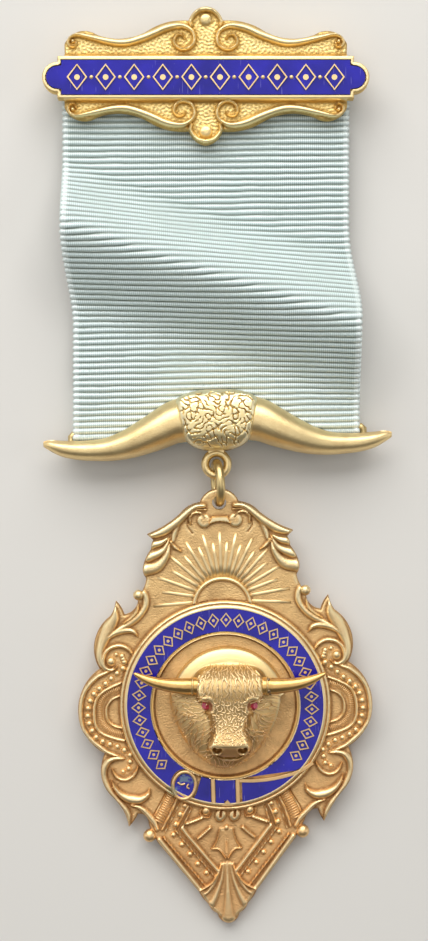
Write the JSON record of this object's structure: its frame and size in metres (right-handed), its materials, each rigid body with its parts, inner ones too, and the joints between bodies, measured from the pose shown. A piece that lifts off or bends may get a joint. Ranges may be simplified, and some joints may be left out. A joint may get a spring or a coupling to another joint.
{
  "type": "fraternal medal",
  "caption": "Fraternal medal lying face up: gilt enamelled brooch bar, ribbed ribbon, horn-shaped suspender, jump ring and pendant with a bull's head in an enamel garter.",
  "frame": {"origin": "on the surface that the medal lies on, below the middle of the medal", "axes": "+Z out of the face, +Y from the pendant towards the brooch bar, +X to the right as the face is seen"},
  "size_m": [0.0467, 0.1226, 0.0089],
  "materials": {
    "gilt_brass": "stamped, gilt, satin with rubbed edges",
    "blue_enamel": "fired vitreous enamel, glossy with fine pits",
    "ribbon": "ribbed silk ribbon, soft sheen",
    "ring_wire": "drawn brass wire, dulled",
    "red_stone": "cut paste stone, polished"
  },
  "bodies": {
    "root": {"brooch_bar": "gilt_brass", "bar_enamel": "blue_enamel", "brooch_pin": "gilt_brass", "ribbon": "ribbon", "horn_suspender": "gilt_brass", "jump_ring": "ring_wire", "pendant_plate": "gilt_brass", "garter_strap": "blue_enamel", "garter_tail": "blue_enamel", "garter_loop_left": "blue_enamel", "garter_loop_middle": "blue_enamel", "bull_head": "gilt_brass", "eye_left": "red_stone", "eye_right": "red_stone"}
  },
  "joints": []
}
